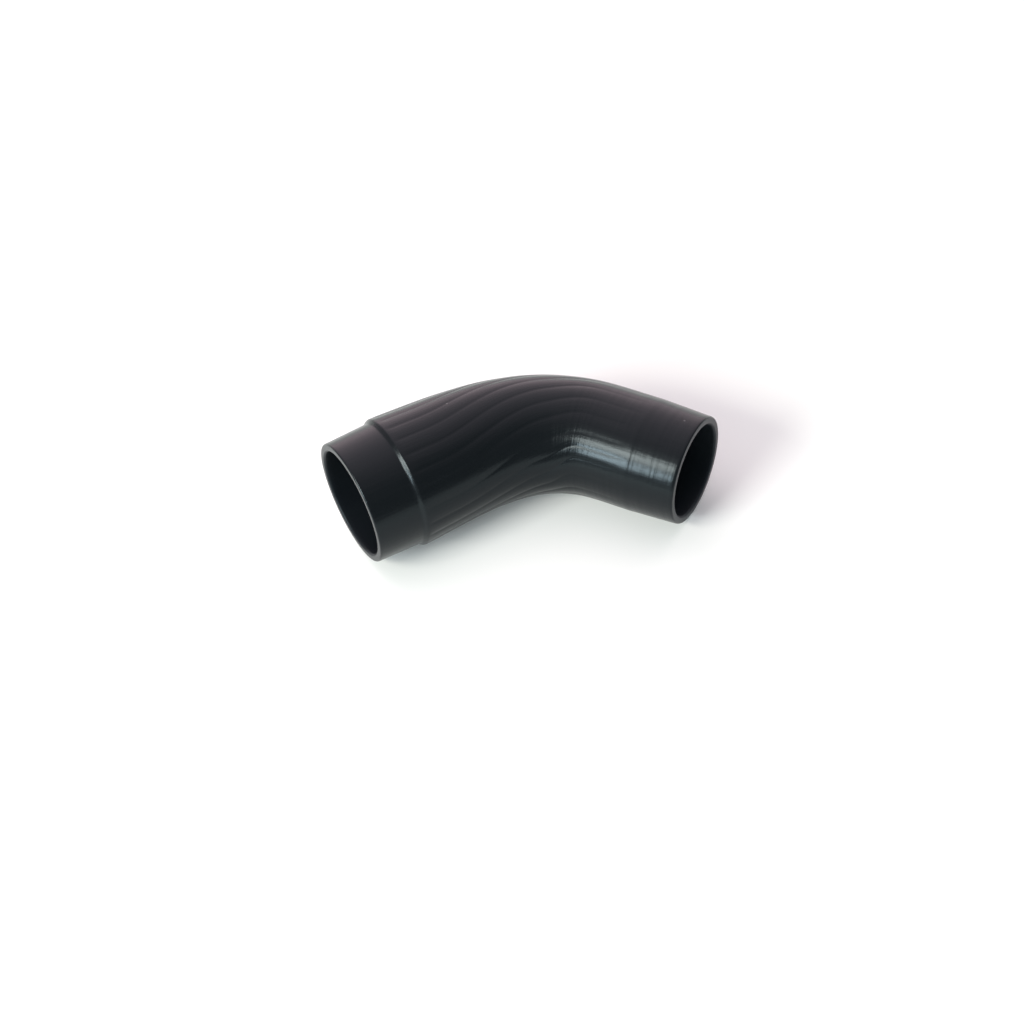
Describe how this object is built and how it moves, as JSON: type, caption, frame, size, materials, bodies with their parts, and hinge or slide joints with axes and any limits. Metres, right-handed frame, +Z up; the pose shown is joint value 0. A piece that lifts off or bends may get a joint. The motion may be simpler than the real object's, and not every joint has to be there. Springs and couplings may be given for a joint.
{
  "type": "intercooler hose",
  "caption": "Reducing rubber elbow for a charge-air pipe: a tapering, gently bent body, bored right through, with a stepped-down plain cuff for a clamp at each end.",
  "frame": {"origin": "centre of the bounding box's underside, on the floor that the hose lies on", "axes": "+X from the large mouth to the small one, +Z up off the floor, and the outside of the bend towards +Y"},
  "size_m": [0.2164, 0.1066, 0.0741],
  "materials": {
    "rubber": "satin"
  },
  "bodies": {
    "root": {"hose": "rubber"}
  },
  "joints": []
}
